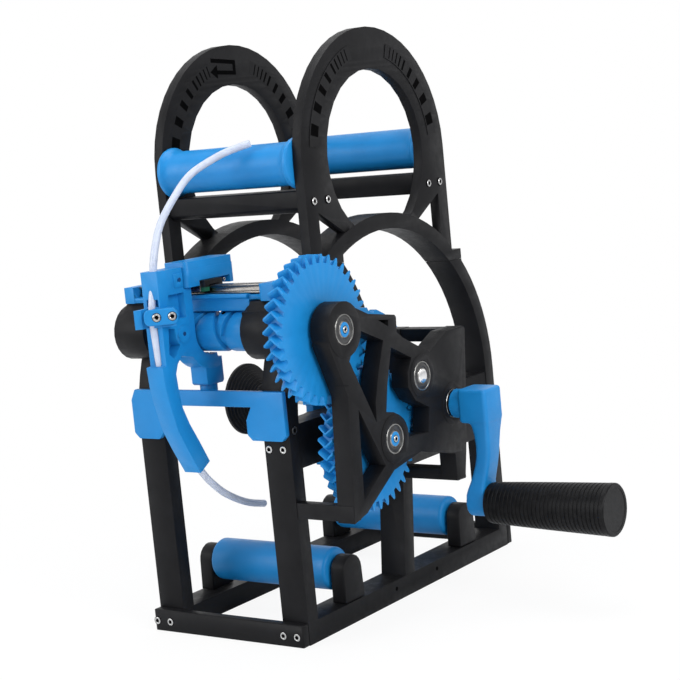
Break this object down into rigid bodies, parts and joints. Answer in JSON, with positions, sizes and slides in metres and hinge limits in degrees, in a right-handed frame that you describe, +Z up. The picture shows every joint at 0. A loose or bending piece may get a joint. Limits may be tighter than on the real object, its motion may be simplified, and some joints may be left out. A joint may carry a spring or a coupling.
{
  "type": "filament spool winder",
  "caption": "Hand-cranked bench machine with arched side frames that winds filament from a spool on rollers onto a shaft, through herringbone gears and a cam-driven guide.",
  "frame": {"origin": "middle of the front base bar's underside, on the floor midway between the side frames", "axes": "+X across the machine towards the crank, +Y from front to back, +Z up"},
  "size_m": [0.34, 0.3447, 0.435],
  "materials": {
    "frame_black": "matte charcoal black, finely textured",
    "blue_plastic": "satin azure blue",
    "bearing_steel": "ground bearing steel",
    "rail_steel": "ground rail steel",
    "tube_white": "smooth milky white tube",
    "seal_green": "moulded dark green"
  },
  "bodies": {
    "frame": {"base_bar_front": "frame_black", "base_bar_rear": "frame_black", "side_frame_left": "frame_black", "side_frame_right": "frame_black", "upper_frame_left": "frame_black", "upper_frame_right": "frame_black", "crossbar_front": "frame_black", "crossbar_rear": "frame_black", "bracket_front_left": "frame_black", "bracket_front_right": "frame_black", "bracket_rear_left": "frame_black", "bracket_rear_right": "frame_black", "gear_plate": "frame_black", "bearing_drum_outer": "bearing_steel", "bearing_idler_outer": "bearing_steel", "bearing_spare": "bearing_steel", "bearing_crank_outer": "bearing_steel", "bearing_drum_right": "bearing_steel", "bearing_drum_left": "bearing_steel", "bearing_crank_hub": "bearing_steel", "bearing_idler_inner": "bearing_steel", "roller_top_front_axle": "bearing_steel", "roller_top_rear_axle": "bearing_steel", "roller_low_front_axle": "bearing_steel", "roller_low_rear_axle": "bearing_steel", "rail_beam": "blue_plastic", "linear_rail": "rail_steel", "gauge_bar": "blue_plastic"},
    "crank": {"crank_arm": "blue_plastic", "crank_gear": "blue_plastic", "crank_gear_sleeve": "blue_plastic", "spool_shaft": "bearing_steel", "spool_flange": "blue_plastic", "grip_bolt": "bearing_steel"},
    "grip": {"crank_grip": "frame_black"},
    "idler": {"idler_gear": "blue_plastic", "idler_gear_sleeve": "blue_plastic", "idler_shaft": "bearing_steel"},
    "drum": {"drum_gear": "blue_plastic", "drum_gear_sleeve": "blue_plastic", "drum_shaft": "bearing_steel", "cam_drum": "blue_plastic"},
    "carriage": {"carriage_body": "blue_plastic", "carriage_cover": "blue_plastic", "tube_clamp": "blue_plastic", "drum_follower": "blue_plastic", "rail_runner": "rail_steel", "runner_seal_left": "seal_green", "runner_seal_right": "seal_green", "tube_upper": "tube_white", "tube_lower": "tube_white", "tube_held": "tube_white"},
    "cone": {"spool_cone": "frame_black"},
    "nut": {"wing_nut": "frame_black"},
    "top_front": {"roller_top_front": "blue_plastic"},
    "top_rear": {"roller_top_rear": "blue_plastic"},
    "low_front": {"roller_low_front": "blue_plastic"},
    "low_rear": {"roller_low_rear": "blue_plastic"}
  },
  "joints": [
    {"name": "crank_spin", "type": "hinge", "parent": "frame", "child": "crank", "pos_m": [0.1208, 0.1434, 0.15], "axis": [1, 0, 0], "continuous": true},
    {"name": "idler_spin", "type": "hinge", "parent": "frame", "child": "idler", "pos_m": [0.09595, 0.06151, 0.13996], "axis": [1, 0, 0], "continuous": true},
    {"name": "drum_spin", "type": "hinge", "parent": "frame", "child": "drum", "pos_m": [0.09595, 0.0129, 0.2262], "axis": [1, 0, 0], "continuous": true},
    {"name": "grip_spin", "type": "hinge", "parent": "crank", "child": "grip", "pos_m": [0.1457, 0.1434, 0.075], "axis": [1, 0, 0], "continuous": true},
    {"name": "carriage_slide", "type": "slide", "parent": "frame", "child": "carriage", "axis": [1, 0, 0], "range_m": [-0.0255, 0.036]},
    {"name": "cone_slide", "type": "slide", "parent": "crank", "child": "cone", "axis": [1, 0, 0], "range_m": [0, 0.01]},
    {"name": "nut_turn", "type": "hinge", "parent": "cone", "child": "nut", "pos_m": [-0.0855, 0.1434, 0.15], "axis": [1, 0, 0], "range_deg": [0, 2880]},
    {"name": "roller_top_front_spin", "type": "hinge", "parent": "frame", "child": "top_front", "pos_m": [0, 0.0614, 0.34], "axis": [1, 0, 0], "continuous": true},
    {"name": "roller_top_rear_spin", "type": "hinge", "parent": "frame", "child": "top_rear", "pos_m": [0, 0.2294, 0.34], "axis": [1, 0, 0], "continuous": true},
    {"name": "roller_low_front_spin", "type": "hinge", "parent": "frame", "child": "low_front", "pos_m": [0, 0.0644, 0.039], "axis": [1, 0, 0], "continuous": true},
    {"name": "roller_low_rear_spin", "type": "hinge", "parent": "frame", "child": "low_rear", "pos_m": [0, 0.2264, 0.039], "axis": [1, 0, 0], "continuous": true}
  ],
  "couplings": [
    {"joint": "idler_spin", "follows": "crank_spin", "ratio": -0.66667},
    {"joint": "drum_spin", "follows": "crank_spin", "ratio": 0.66667},
    {"joint": "nut_turn", "follows": "cone_slide", "rad_per_m": 5026.5}
  ]
}
